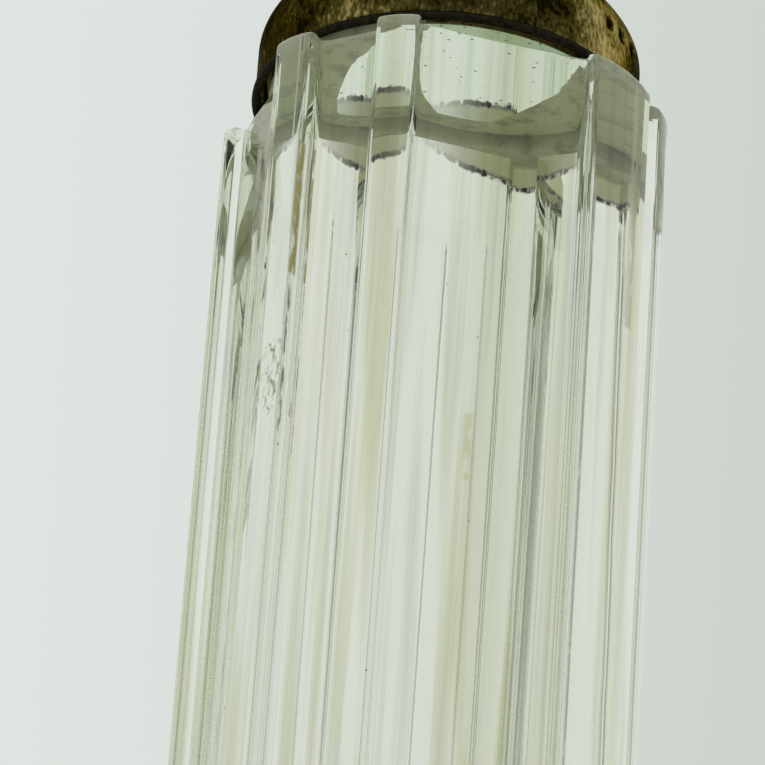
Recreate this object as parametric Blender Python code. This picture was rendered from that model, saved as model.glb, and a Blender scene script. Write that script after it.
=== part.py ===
"""Cut-glass sample vial with a domed screw cap, modelled at its real size in metres, +Z up.

The origin is the middle of the base. A pillared glass column carries a round neck with a shallow
well in it. A flanged ferrule is cemented on the neck, and a domed cap with a rolled rim screws
down over it and presses a loose wad on the ground lip.
"""

import math

import bmesh
import bpy
from mathutils import Vector

MM = 0.001

# Glass column: eight ribs in four pairs, with a hollow-ground panel between the pairs.
GLASS_LENGTH = 62.0 * MM
RIB_RADIUS = 12.75 * MM
RIB_CROWN = 0.12 * MM
RIB_TOP_ROUND = 0.5 * MM
RIB_EDGE_RADIUS = 0.28 * MM
PANEL_WIDTH = 10.2 * MM
PANEL_RECESS = 2.5 * MM
PANEL_HOLLOW = 0.3 * MM
PANEL_ROOT_RADIUS = 0.5 * MM
NOTCH_WIDTH = 4.2 * MM
NOTCH_DEPTH = 1.8 * MM
NOTCH_HOLLOW = 0.15 * MM
NOTCH_ROOT_RADIUS = 0.4 * MM
BASE_CHAMFER = 0.35 * MM
PONTIL_RADIUS = 4.5 * MM
PONTIL_DEPTH = 0.35 * MM

# Neck, turned on the same axis: a collar that the cap slips over, then the cemented neck.
COLLAR_INSET = 0.05 * MM
COLLAR_HEIGHT = 1.3 * MM
NECK_HEIGHT = 5.4 * MM
LIP_ROUND = 0.25 * MM
WELL_RADIUS = 8.2 * MM
WELL_FLOOR = 1.2 * MM
WELL_FILLET = 0.3 * MM
NECK_SINK = 0.5 * MM

# Cement and ferrule on the neck.
BOND_GAP = 0.05 * MM
CEMENT_WALL = 0.2 * MM
FERRULE_WALL = 0.3 * MM
FLANGE_THICKNESS = 0.25 * MM
FLANGE_OVERHANG = 0.3 * MM
FERRULE_DROP = 0.2 * MM

# Cap: skirt, low elliptical dome, rolled rim, threaded ring and filling.
CAP_CLEARANCE = 0.25 * MM
THREAD_CLEARANCE = 0.15 * MM
THREAD_RING_WALL = 0.35 * MM
THREAD_RING_HEIGHT = 1.7 * MM
THREAD_RING_LIFT = 0.3 * MM
SOLDER_GAP = 0.1 * MM
CAP_WALL = 0.5 * MM
SKIRT_HEIGHT = 2.7 * MM
DOME_HEIGHT = 5.5 * MM
RIM_WIRE_RADIUS = 0.25 * MM
RIM_GAP = 0.05 * MM
RIM_PROUD = 0.2 * MM
RIM_LIFT = 0.6 * MM

# Loose wad with its pressure plate, and the filling above it.
SEAL_GAP = 0.1 * MM
WAD_INSET = 0.5 * MM
WAD_THICKNESS = 0.9 * MM
PLATE_INSET = 0.7 * MM
PLATE_THICKNESS = 0.25 * MM
CORE_INSET = 0.6 * MM
CORE_CLEARANCE = 0.12 * MM

# Facets.
TURNED_STEPS = 64
DOME_STEPS = 9
WIRE_STEPS = 10
FILLET_STEPS = 3
PANEL_STEPS = 8
NOTCH_STEPS = 4

# Sizes that follow from the ones above. The radii run inwards from the ribs: panel, collar, cap,
# threaded ring, ferrule, cement, neck, wad, plate and filling.
SHOULDER_Z = GLASS_LENGTH
PANEL_DISTANCE = RIB_RADIUS - PANEL_RECESS
NOTCH_DISTANCE = RIB_RADIUS - NOTCH_DEPTH
COLLAR_RADIUS = PANEL_DISTANCE - COLLAR_INSET
CAP_INNER = COLLAR_RADIUS + CAP_CLEARANCE
CAP_OUTER = CAP_INNER + CAP_WALL
RING_OUTER = CAP_INNER - SOLDER_GAP
RING_INNER = RING_OUTER - THREAD_RING_WALL
FERRULE_OUTER = RING_INNER - THREAD_CLEARANCE
FLANGE_RADIUS = FERRULE_OUTER + FLANGE_OVERHANG
FERRULE_INNER = FERRULE_OUTER - FERRULE_WALL
CEMENT_OUTER = FERRULE_INNER - BOND_GAP
CEMENT_INNER = CEMENT_OUTER - CEMENT_WALL
NECK_RADIUS = CEMENT_INNER - BOND_GAP
WAD_RADIUS = NECK_RADIUS - WAD_INSET
PLATE_RADIUS = WAD_RADIUS - PLATE_INSET
CORE_RADIUS = PLATE_RADIUS - CORE_INSET
COLLAR_TOP = SHOULDER_Z + COLLAR_HEIGHT
NECK_TOP = SHOULDER_Z + NECK_HEIGHT
FLANGE_Z = COLLAR_TOP + BOND_GAP
FLANGE_TOP = FLANGE_Z + FLANGE_THICKNESS
FERRULE_TOP = NECK_TOP - FERRULE_DROP
RING_Z = FLANGE_TOP + THREAD_RING_LIFT
RING_TOP = RING_Z + THREAD_RING_HEIGHT
RIM_CENTRE_RADIUS = CAP_OUTER + RIM_PROUD - RIM_WIRE_RADIUS
RIM_CENTRE_Z = SHOULDER_Z + RIM_LIFT + RIM_WIRE_RADIUS
SKIRT_Z = RIM_CENTRE_Z + RIM_WIRE_RADIUS + RIM_GAP
DOME_Z = SKIRT_Z + SKIRT_HEIGHT
DOME_INNER_HEIGHT = DOME_HEIGHT - CAP_WALL
WAD_Z = NECK_TOP + SEAL_GAP
PLATE_Z = WAD_Z + WAD_THICKNESS + SEAL_GAP
CORE_Z = PLATE_Z + PLATE_THICKNESS + SEAL_GAP


def clear_scene():
    """Remove the objects that the scene starts with."""
    for item in list(bpy.data.objects):
        bpy.data.objects.remove(item)


def material(name, colour, roughness, metallic=0.0, transmission=0.0):
    """Make a Principled material."""
    made = bpy.data.materials.new(name)
    made.use_nodes = True
    shader = made.node_tree.nodes["Principled BSDF"]
    shader.inputs["Base Color"].default_value = (*colour, 1.0)
    shader.inputs["Roughness"].default_value = roughness
    shader.inputs["Metallic"].default_value = metallic
    shader.inputs["Transmission Weight"].default_value = transmission
    return made


def add_object(name, bm, finish, parent=None, smooth_angle=35.0):
    """Turn a bmesh into a named object, shaded smooth up to an angle."""
    bmesh.ops.recalc_face_normals(bm, faces=bm.faces[:])
    mesh = bpy.data.meshes.new(name)
    bm.to_mesh(mesh)
    bm.free()
    mesh.shade_smooth()
    mesh.set_sharp_from_angle(angle=math.radians(smooth_angle))
    made = bpy.data.objects.new(name, mesh)
    bpy.context.scene.collection.objects.link(made)
    if finish is not None:
        mesh.materials.append(finish)
    made.parent = parent
    return made


def turned(name, profile, finish, parent=None):
    """Turn a profile of (radius, height) points round the axis.

    A profile that starts and ends on the axis is left open there; any other is a closed ring.
    """
    bm = bmesh.new()
    rail = [bm.verts.new((radius, 0.0, height)) for radius, height in profile]
    edges = [bm.edges.new(pair) for pair in zip(rail, rail[1:])]
    if profile[0][0] > 0.0:
        edges.append(bm.edges.new((rail[-1], rail[0])))
    bmesh.ops.spin(
        bm,
        geom=rail + edges,
        cent=(0.0, 0.0, 0.0),
        axis=(0.0, 0.0, 1.0),
        angle=2.0 * math.pi,
        steps=TURNED_STEPS,
        use_merge=True,
    )
    bmesh.ops.remove_doubles(bm, verts=bm.verts[:], dist=1e-7)
    return add_object(name, bm, finish, parent)


def arc(centre, radius, start, end, steps):
    """Points of a circular arc in the profile plane, angles in degrees."""
    points = []
    for index in range(steps + 1):
        angle = math.radians(start + (end - start) * index / steps)
        points.append((centre[0] + radius * math.cos(angle), centre[1] + radius * math.sin(angle)))
    return points


def ellipse_quarter(radius, height, base, steps):
    """Points of a dome profile from its widest ring up to the axis."""
    points = []
    for index in range(steps + 1):
        angle = 0.5 * math.pi * index / steps
        points.append((radius * math.cos(angle), base + height * math.sin(angle)))
    points[-1] = (0.0, base + height)
    return points


def polar(radius, angle):
    """A point at a radius and an angle in radians."""
    return Vector((radius * math.cos(angle), radius * math.sin(angle)))


def quarter_corners(turn):
    """Corners of one quarter of the column's outline, each with its edge radius.

    The quarter starts at the left end of a panel and runs round a pair of ribs.
    """
    normal = polar(1.0, turn)
    along = Vector((-normal.y, normal.x))
    diagonal = polar(1.0, turn + 0.25 * math.pi)
    across = Vector((-diagonal.y, diagonal.x))
    half_panel = 0.5 * PANEL_WIDTH
    half_notch = 0.5 * NOTCH_WIDTH
    panel_angle = math.asin(half_panel / RIB_RADIUS)
    notch_angle = 0.25 * math.pi - math.asin(half_notch / RIB_RADIUS)
    crown_angle = 0.5 * (panel_angle + notch_angle)
    corners = []
    for index in range(PANEL_STEPS + 1):
        share = -1.0 + 2.0 * index / PANEL_STEPS
        depth = PANEL_DISTANCE + PANEL_HOLLOW * share * share
        root = PANEL_ROOT_RADIUS if index in (0, PANEL_STEPS) else 0.0
        corners.append((normal * depth + along * (half_panel * share), root))
    corners.append((polar(RIB_RADIUS, turn + panel_angle), RIB_EDGE_RADIUS))
    corners.append((polar(RIB_RADIUS + RIB_CROWN, turn + crown_angle), 0.0))
    corners.append((polar(RIB_RADIUS, turn + notch_angle), RIB_EDGE_RADIUS))
    for index in range(NOTCH_STEPS + 1):
        share = -1.0 + 2.0 * index / NOTCH_STEPS
        depth = NOTCH_DISTANCE + NOTCH_HOLLOW * share * share
        root = NOTCH_ROOT_RADIUS if index in (0, NOTCH_STEPS) else 0.0
        corners.append((diagonal * depth + across * (half_notch * share), root))
    corners.append((polar(RIB_RADIUS, turn + 0.5 * math.pi - notch_angle), RIB_EDGE_RADIUS))
    corners.append((polar(RIB_RADIUS + RIB_CROWN, turn + 0.5 * math.pi - crown_angle), 0.0))
    corners.append((polar(RIB_RADIUS, turn + 0.5 * math.pi - panel_angle), RIB_EDGE_RADIUS))
    return corners


def rounded(corners):
    """Replace each corner that has a radius by a short arc."""
    outline = []
    count = len(corners)
    for index, (point, radius) in enumerate(corners):
        if radius == 0.0:
            outline.append(point)
            continue
        before = (corners[index - 1][0] - point).normalized()
        after = (corners[(index + 1) % count][0] - point).normalized()
        half = 0.5 * before.angle(after)
        reach = radius / math.tan(half)
        centre = point + (before + after).normalized() * (radius / math.sin(half))
        start = point + before * reach - centre
        sweep = start.angle_signed(point + after * reach - centre)
        for step in range(FILLET_STEPS + 1):
            angle = -sweep * step / FILLET_STEPS
            turned_arm = Vector(
                (
                    start.x * math.cos(angle) - start.y * math.sin(angle),
                    start.x * math.sin(angle) + start.y * math.cos(angle),
                )
            )
            outline.append(centre + turned_arm)
    return outline


def column_outline():
    """The column's whole outline, with a panel facing -Y."""
    corners = []
    for quarter in range(4):
        corners.extend(quarter_corners(0.5 * math.pi * (quarter - 1)))
    return rounded(corners)


def drawn_in(outline, inset, core):
    """Draw the outline in towards the axis, in full at the ribs and not at all inside core."""
    drawn = []
    for point in outline:
        share = min(1.0, max(0.0, (point.length - core) / (RIB_RADIUS - core)))
        drawn.append(point * (1.0 - inset * share / point.length))
    return drawn


def column_layers(outline):
    """Outlines of the column from its chamfered base to its rounded rib tops."""
    core = NOTCH_DISTANCE
    layers = [(0.0, drawn_in(outline, BASE_CHAMFER, 0.0)), (BASE_CHAMFER, outline)]
    for step in range(FILLET_STEPS + 1):
        angle = 0.5 * math.pi * step / FILLET_STEPS
        height = GLASS_LENGTH - RIB_TOP_ROUND * (1.0 - math.sin(angle))
        layers.append((height, drawn_in(outline, RIB_TOP_ROUND * (1.0 - math.cos(angle)), core)))
    return layers


def glass_column(finish):
    """The pillared column, with the collar, neck and well joined on and the pontil ground out."""
    bm = bmesh.new()
    rings = []
    for height, outline in column_layers(column_outline()):
        rings.append([bm.verts.new((point.x, point.y, height)) for point in outline])
    count = len(rings[0])
    for lower, upper in zip(rings, rings[1:]):
        for index in range(count):
            following = (index + 1) % count
            bm.faces.new((lower[index], lower[following], upper[following], upper[index]))
    bm.faces.new(list(reversed(rings[0])))
    bm.faces.new(rings[-1])
    column = add_object("glass_body", bm, finish)
    floor = SHOULDER_Z + WELL_FLOOR
    fillet = arc((WELL_RADIUS - WELL_FILLET, floor + WELL_FILLET), WELL_FILLET, 0.0, -90.0, FILLET_STEPS)
    lip_out = arc((NECK_RADIUS - LIP_ROUND, NECK_TOP - LIP_ROUND), LIP_ROUND, 0.0, 90.0, FILLET_STEPS)
    lip_in = arc((WELL_RADIUS + LIP_ROUND, NECK_TOP - LIP_ROUND), LIP_ROUND, 90.0, 180.0, FILLET_STEPS)
    profile = [
        (0.0, SHOULDER_Z - NECK_SINK),
        (COLLAR_RADIUS, SHOULDER_Z - NECK_SINK),
        (COLLAR_RADIUS, COLLAR_TOP),
        (NECK_RADIUS, COLLAR_TOP),
        *lip_out,
        *lip_in,
        *fillet,
        (0.0, floor),
    ]
    neck = turned("neck_form", profile, None)
    rise = (PONTIL_RADIUS**2 - PONTIL_DEPTH**2) / (2.0 * PONTIL_DEPTH)
    sphere = rise + PONTIL_DEPTH
    dish = []
    for index in range(DOME_STEPS + 1):
        angle = math.asin(PONTIL_RADIUS / sphere) * (1.0 - index / DOME_STEPS)
        dish.append((sphere * math.sin(angle), sphere * math.cos(angle) - rise))
    dish[-1] = (0.0, PONTIL_DEPTH)
    pontil = turned("pontil_form", [(0.0, -PONTIL_DEPTH), (PONTIL_RADIUS, -PONTIL_DEPTH), *dish], None)
    for tool, operation in ((neck, "UNION"), (pontil, "DIFFERENCE")):
        tool.hide_render = True
        tool.display_type = "WIRE"
        step = column.modifiers.new(tool.name, "BOOLEAN")
        step.operation = operation
        step.solver = "EXACT"
        step.object = tool
    return column


def neck_fittings(cement_finish, metal_finish):
    """The cement on the neck and the flanged ferrule that it holds."""
    cement = [
        (CEMENT_OUTER, FERRULE_TOP),
        (CEMENT_OUTER, FLANGE_Z),
        (CEMENT_INNER, FLANGE_Z),
        (CEMENT_INNER, FERRULE_TOP),
    ]
    ferrule = [
        (FERRULE_OUTER, FERRULE_TOP),
        (FERRULE_OUTER, FLANGE_TOP),
        (FLANGE_RADIUS, FLANGE_TOP),
        (FLANGE_RADIUS, FLANGE_Z),
        (FERRULE_INNER, FLANGE_Z),
        (FERRULE_INNER, FERRULE_TOP),
    ]
    turned("neck_cement", cement, cement_finish)
    turned("neck_ferrule", ferrule, metal_finish)


def seal(parent, wad_finish, metal_finish):
    """The loose wad that closes the well, with the plate that presses it."""
    wad = [
        (0.0, WAD_Z),
        (WAD_RADIUS, WAD_Z),
        (WAD_RADIUS, WAD_Z + WAD_THICKNESS),
        (0.0, WAD_Z + WAD_THICKNESS),
    ]
    plate = [
        (0.0, PLATE_Z),
        (PLATE_RADIUS, PLATE_Z),
        (PLATE_RADIUS, PLATE_Z + PLATE_THICKNESS),
        (0.0, PLATE_Z + PLATE_THICKNESS),
    ]
    turned("seal_wad", wad, wad_finish, parent)
    turned("wad_plate", plate, metal_finish, parent)


def cap(parent, metal_finish, core_finish):
    """The domed cap with its rolled rim, threaded ring and filling."""
    outside = ellipse_quarter(CAP_OUTER, DOME_HEIGHT, DOME_Z, DOME_STEPS)
    inside = ellipse_quarter(CAP_INNER, DOME_INNER_HEIGHT, DOME_Z, DOME_STEPS)
    shell = [*reversed(outside), (CAP_OUTER, SKIRT_Z), (CAP_INNER, SKIRT_Z), *inside]
    turned("cap_dome", shell, metal_finish, parent)
    wire = arc((RIM_CENTRE_RADIUS, RIM_CENTRE_Z), RIM_WIRE_RADIUS, 0.0, 360.0, WIRE_STEPS)[:-1]
    turned("cap_rim_bead", wire, metal_finish, parent)
    ring = [(RING_OUTER, RING_TOP), (RING_OUTER, RING_Z), (RING_INNER, RING_Z), (RING_INNER, RING_TOP)]
    turned("cap_thread_ring", ring, metal_finish, parent)
    fill_radius = CAP_INNER - CORE_CLEARANCE
    fill_height = DOME_INNER_HEIGHT - CORE_CLEARANCE
    reach = math.acos(CORE_RADIUS / fill_radius)
    core = [(0.0, CORE_Z), (CORE_RADIUS, CORE_Z)]
    for index in range(DOME_STEPS + 1):
        angle = reach + (0.5 * math.pi - reach) * index / DOME_STEPS
        core.append((fill_radius * math.cos(angle), DOME_Z + fill_height * math.sin(angle)))
    core[-1] = (0.0, DOME_Z + fill_height)
    turned("cap_core", core, core_finish, parent)


def axis_empty(name, parent=None):
    """An empty on the vial's axis that carries the pieces of one moving body."""
    made = bpy.data.objects.new(name, None)
    bpy.context.scene.collection.objects.link(made)
    made.parent = parent
    return made


def main():
    """Build the vial."""
    clear_scene()
    glass = material("clear_glass", (0.93, 0.96, 0.91), 0.02, transmission=1.0)
    gilt = material("tarnished_gilt", (0.28, 0.23, 0.09), 0.38, metallic=1.0)
    brass = material("dull_brass", (0.38, 0.31, 0.13), 0.42, metallic=1.0)
    cement = material("old_cement", (0.42, 0.4, 0.24), 0.85)
    cork = material("cork", (0.52, 0.36, 0.2), 0.9)
    wood = material("boxwood", (0.55, 0.42, 0.2), 0.6)
    glass_column(glass)
    neck_fittings(cement, brass)
    seal_axis = axis_empty("seal_axis")
    seal(seal_axis, cork, brass)
    cap_axis = axis_empty("cap_axis", seal_axis)
    cap(cap_axis, gilt, wood)


main()
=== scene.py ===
"""Looks of the cut-glass sample vial: polished glass, cemented neck and worn gilt screw cap.

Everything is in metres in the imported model's frame: +Z up the vial's axis, the base at z = 0 and one
wide panel of the glass facing -Y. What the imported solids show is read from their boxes.
"""

import logging
import math
from dataclasses import dataclass
from enum import Enum
from typing import Sequence, Union

import bmesh
import bpy
from bmesh.types import BMesh, BMFace, BMVert
from mathutils import Matrix, Quaternion, Vector, noise


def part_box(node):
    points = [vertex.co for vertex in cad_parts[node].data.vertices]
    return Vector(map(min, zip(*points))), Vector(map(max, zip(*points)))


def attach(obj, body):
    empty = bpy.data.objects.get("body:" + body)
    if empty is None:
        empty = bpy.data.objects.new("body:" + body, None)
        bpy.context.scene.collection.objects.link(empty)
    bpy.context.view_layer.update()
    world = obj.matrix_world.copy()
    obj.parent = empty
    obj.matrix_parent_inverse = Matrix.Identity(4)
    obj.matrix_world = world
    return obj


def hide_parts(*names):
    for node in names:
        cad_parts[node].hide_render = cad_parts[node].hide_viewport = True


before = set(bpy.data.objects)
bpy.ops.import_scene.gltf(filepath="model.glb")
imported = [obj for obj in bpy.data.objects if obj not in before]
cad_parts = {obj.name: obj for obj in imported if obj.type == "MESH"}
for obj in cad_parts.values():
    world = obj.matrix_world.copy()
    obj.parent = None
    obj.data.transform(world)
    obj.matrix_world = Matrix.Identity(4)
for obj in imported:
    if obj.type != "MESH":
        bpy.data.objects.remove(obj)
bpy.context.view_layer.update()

LOG = logging.getLogger("vial")
MM = 0.001

# Places of the colour sockets on a Mix node.
MIX_FACTOR, MIX_A, MIX_B, MIX_RESULT = 0, 6, 7, 2

Colour = tuple[float, float, float, float]
Profile = list[tuple[float, float]]


class Body(Enum):
    """The bodies that pieces ride on."""

    VIAL = "vial"
    SEAL = "seal"
    CAP = "cap"


class Zone(Enum):
    """Which part of the glass a surface belongs to; the value is its material slot."""

    OPEN = 0
    SEATED = 1


def linear(code: str) -> Colour:
    """Turn an sRGB hex code into a linear colour.

    Args:
        code: Six hex digits after a hash sign.

    Returns:
        Linear red, green and blue with full alpha.
    """
    channels = []
    for start in (1, 3, 5):
        value = int(code[start : start + 2], 16) / 255.0
        channels.append(value / 12.92 if value <= 0.04045 else ((value + 0.055) / 1.055) ** 2.4)
    return (*channels, 1.0)


def add_node(tree: bpy.types.NodeTree, kind: str, links: dict, **settings) -> bpy.types.Node:
    """Add a node with its settings, values and links.

    Args:
        tree: Node tree that gets the node.
        kind: Blender's name of the node type.
        links: For each input, by name or number, a value or the socket that feeds it.
        **settings: Properties of the node.

    Returns:
        The new node.
    """
    made = tree.nodes.new(kind)
    for name, value in settings.items():
        setattr(made, name, value)
    for place, value in links.items():
        if isinstance(value, bpy.types.NodeSocket):
            tree.links.new(value, made.inputs[place])
        else:
            made.inputs[place].default_value = value
    return made


def ramp_stops(node: bpy.types.Node, stops: Sequence[tuple[float, Colour]]) -> bpy.types.NodeSocket:
    """Give a colour ramp its stops.

    Args:
        node: The colour ramp.
        stops: Position and colour of each stop, in order.

    Returns:
        The ramp's colour socket.
    """
    elements = node.color_ramp.elements
    while len(elements) < len(stops):
        elements.new(1.0)
    for element, (position, colour) in zip(elements, stops):
        element.position = position
        element.color = colour
    return node.outputs["Color"]


def blank_material(name: str) -> tuple[bpy.types.Material, bpy.types.NodeTree, bpy.types.Node]:
    """Make a material that holds only its output.

    Args:
        name: Name of the material.

    Returns:
        The material, its node tree and its output node.
    """
    made = bpy.data.materials.new(name)
    made.use_nodes = True
    tree = made.node_tree
    tree.nodes.clear()
    output = add_node(tree, "ShaderNodeOutputMaterial", {})
    return made, tree, output


@dataclass(frozen=True)
class Span:
    """A turned node's outer radius and its lowest and highest level."""

    radius: float
    low: float
    high: float

    @classmethod
    def of(cls, node: str) -> "Span":
        """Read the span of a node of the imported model."""
        low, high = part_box(node)
        return cls(high.x, low.z, high.z)


@dataclass(frozen=True)
class Stain:
    """A patch of dirt on the glass: its bearing in degrees, its reach along the axis in mm, its colour,
    how well it hides the glass, how patchy it is, and how far its sides are drawn up in mm."""

    bearing: float
    half_width: float
    low: float
    high: float
    colour: str
    strength: float
    patchy: float
    bow: float = 0.0


@dataclass(frozen=True)
class CutGlass:
    """Soda-lime glass, ground on a wheel and polished.

    Clear with a faint yellow-green body colour that deepens along the ribs, fine lengthwise polishing
    lines, a few stains in the roots of the cuts, and olive cement and dirt where the cap sits on it.
    """

    ior: float = 1.52
    surface: str = "#FAFCF8"
    roughness: float = 0.012
    body_colour: str = "#D7E3C6"
    body_density: float = 11.0
    wave_mm: float = 3.5
    line_mm: float = 0.5
    line_length_mm: float = 30.0
    streak_mm: float = 1.7
    streak_length_mm: float = 70.0
    # Tones of the lengthwise bands: painted light and shade for the refracted streaks, lighter, darker, cream
    # and bluish.
    painted_streak_tones: tuple[tuple[float, str], ...] = (
        (0.3, "#C4C8AA"),
        (0.4, "#E6E6CC"),
        (0.45, "#FAFCF8"),
        (0.55, "#FAFCF8"),
        (0.61, "#E0E8E6"),
        (0.67, "#F0F0DC"),
        (0.75, "#D0D6C4"),
    )
    film: str = "#E2E3CC"
    film_bearings: tuple[tuple[float, float], ...] = ((-99.0, -72.0), (-53.0, -38.0))
    dirt_mm: tuple[float, float] = (0.3, 1.2)
    speck_mm: float = 0.62
    open_speck_mm: float = 1.8
    olive: str = "#DAD9B4"
    olive_dark: str = "#A3A37C"
    tongue_tip_mm: tuple[float, float] = (0.6, 8.6)
    tongue_width_mm: float = 2.5
    tongue_half_mm: float = 4.8
    rim_mm: float = 9.6
    rim_film: float = 0.18
    clean_rim_bearings: tuple[float, float] = (103.0, 160.0)
    ragged_mm: float = 0.6
    stains: tuple[Stain, ...] = (
        Stain(62.0, 40.0, 60.4, 62.4, "#D6D48E", 0.72, 0.0, 1.7),
        Stain(62.0, 40.0, 60.2, 60.75, "#1E1E12", 1.0, 0.52, 1.7),
        Stain(-144.8, 0.28, 46.5, 55.0, "#BEAC56", 0.9, 0.5),
        Stain(-146.6, 0.35, 55.0, 61.6, "#D8CC80", 0.6, 0.3),
        Stain(-146.0, 0.7, 60.4, 61.7, "#6E5424", 0.8, 0.5),
        Stain(-144.7, 0.15, 36.0, 46.5, "#7E7850", 0.8, 0.58),
        Stain(-146.8, 2.4, 38.2, 42.6, "#6C6C54", 0.8, 0.68),
        Stain(-93.0, 1.8, 34.6, 38.8, "#E6E0A0", 0.45, 0.5),
        Stain(-49.3, 2.5, 46.0, 61.5, "#A08C5C", 0.35, 0.46),
        Stain(-64.3, 0.5, 1.0, 54.0, "#6A6E6A", 0.6, 0.4),
    )

    def material(self, zone: Zone) -> bpy.types.Material:
        """Make the glass of one zone.

        Args:
            zone: The open sides, or the top that the cap and its cement sit on.

        Returns:
            The material.
        """
        made, tree, output = blank_material(f"polished_cut_glass_{zone.name.lower()}")
        place = add_node(tree, "ShaderNodeTexCoord", {}).outputs["Object"]
        mask, colour = self._cover(tree, place, zone)
        clear = add_node(tree, "ShaderNodeMath", {0: 1.0, 1: mask}, operation="SUBTRACT")
        tint = add_node(
            tree,
            "ShaderNodeMix",
            {MIX_FACTOR: mask, MIX_A: self._film_and_painted_streaks(tree, place), MIX_B: colour},
            data_type="RGBA",
        )
        gloss = add_node(
            tree,
            "ShaderNodeMapRange",
            {"Value": mask, "To Min": self.roughness, "To Max": 0.8},
        )
        shader = add_node(
            tree,
            "ShaderNodeBsdfPrincipled",
            {
                "Base Color": tint.outputs[MIX_RESULT],
                "Roughness": gloss.outputs["Result"],
                "Transmission Weight": clear.outputs["Value"],
                "Normal": self._relief(tree, place),
                "IOR": self.ior,
            },
        )
        body = add_node(
            tree,
            "ShaderNodeVolumeAbsorption",
            {"Color": linear(self.body_colour), "Density": self.body_density},
        )
        tree.links.new(shader.outputs["BSDF"], output.inputs["Surface"])
        tree.links.new(body.outputs["Volume"], output.inputs["Volume"])
        return made

    def _relief(self, tree: bpy.types.NodeTree, place: bpy.types.NodeSocket) -> bpy.types.NodeSocket:
        """Slow waviness and fine lengthwise polishing lines, as a normal."""
        wave = add_node(
            tree,
            "ShaderNodeTexNoise",
            {"Vector": place, "Scale": 1.0 / (self.wave_mm * MM), "Detail": 1.0},
        )
        lines = self._lengthwise(tree, place, self.line_mm, self.line_length_mm, 0.0)
        slow = add_node(
            tree,
            "ShaderNodeBump",
            {"Height": wave.outputs["Fac"], "Strength": 0.2, "Distance": 0.03 * MM},
        )
        fine = add_node(
            tree,
            "ShaderNodeBump",
            {
                "Height": lines,
                "Strength": 0.05,
                "Distance": 0.01 * MM,
                "Normal": slow.outputs["Normal"],
            },
        )
        return fine.outputs["Normal"]

    @staticmethod
    def _lengthwise(
        tree: bpy.types.NodeTree,
        place: bpy.types.NodeSocket,
        across_mm: float,
        along_mm: float,
        detail: float = 3.0,
    ) -> bpy.types.NodeSocket:
        """Noise drawn out along the axis, as wide as across_mm and as long as along_mm."""
        stretched = add_node(
            tree,
            "ShaderNodeMapping",
            {"Vector": place, "Scale": (1.0, 1.0, across_mm / along_mm)},
        ).outputs["Vector"]
        return add_node(
            tree,
            "ShaderNodeTexNoise",
            {"Vector": stretched, "Scale": 1.0 / (across_mm * MM), "Detail": detail},
        ).outputs["Fac"]

    def _film_and_painted_streaks(self, tree: bpy.types.NodeTree, place: bpy.types.NodeSocket) -> bpy.types.NodeSocket:
        """Lengthwise bands painted lighter, darker, cream and bluish, as painted light and shade for the
        streaks that the uneven polish refracts.
        """
        painted_streaks = self._lengthwise(tree, place, self.streak_mm, self.streak_length_mm)
        ramp = add_node(tree, "ShaderNodeValToRGB", {"Fac": painted_streaks})
        colour = ramp_stops(ramp, [(position, linear(code)) for position, code in self.painted_streak_tones])
        bearing = self._bearing(tree, add_node(tree, "ShaderNodeSeparateXYZ", {"Vector": place}))
        for edges in self.film_bearings:
            low, high = (math.radians(edge) for edge in edges)
            share = self._within(tree, bearing, low, high, 0.4 * (high - low))
            colour = add_node(
                tree,
                "ShaderNodeMix",
                {MIX_FACTOR: share, MIX_A: colour, MIX_B: linear(self.film)},
                data_type="RGBA",
                blend_type="MULTIPLY",
            ).outputs[MIX_RESULT]
        return colour

    @staticmethod
    def _specks(
        tree: bpy.types.NodeTree, place: bpy.types.NodeSocket, spacing_mm: float, largest: float
    ) -> bpy.types.NodeSocket:
        """1 on scattered round specks, else 0.

        Args:
            tree: Node tree of the material.
            place: Object coordinates.
            spacing_mm: Distance between neighbours, of which about half carry a speck.
            largest: Radius of the largest speck, as a share of the spacing.

        Returns:
            The socket with the result.
        """
        cells = add_node(
            tree,
            "ShaderNodeTexVoronoi",
            {"Vector": place, "Scale": 1.0 / (spacing_mm * MM), "Randomness": 1.0},
        )
        chosen = add_node(tree, "ShaderNodeSeparateColor", {"Color": cells.outputs["Color"]})
        size = add_node(
            tree,
            "ShaderNodeMapRange",
            {"Value": chosen.outputs["Red"], "From Min": 0.45, "From Max": 1.0, "To Max": largest},
        ).outputs["Result"]
        return add_node(
            tree, "ShaderNodeMath", {0: cells.outputs["Distance"], 1: size}, operation="LESS_THAN"
        ).outputs["Value"]

    def _cover(
        self, tree: bpy.types.NodeTree, place: bpy.types.NodeSocket, zone: Zone
    ) -> tuple[bpy.types.NodeSocket, bpy.types.NodeSocket]:
        """What lies on the glass and hides it.

        Args:
            tree: Node tree of the material.
            place: Object coordinates.
            zone: The zone of the glass.

        Returns:
            The cover's mask and its colour.
        """
        parts = add_node(tree, "ShaderNodeSeparateXYZ", {"Vector": place})
        if zone is Zone.SEATED:
            return self._seat(tree, place, parts)
        return self._streaks(tree, place, parts)

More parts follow.
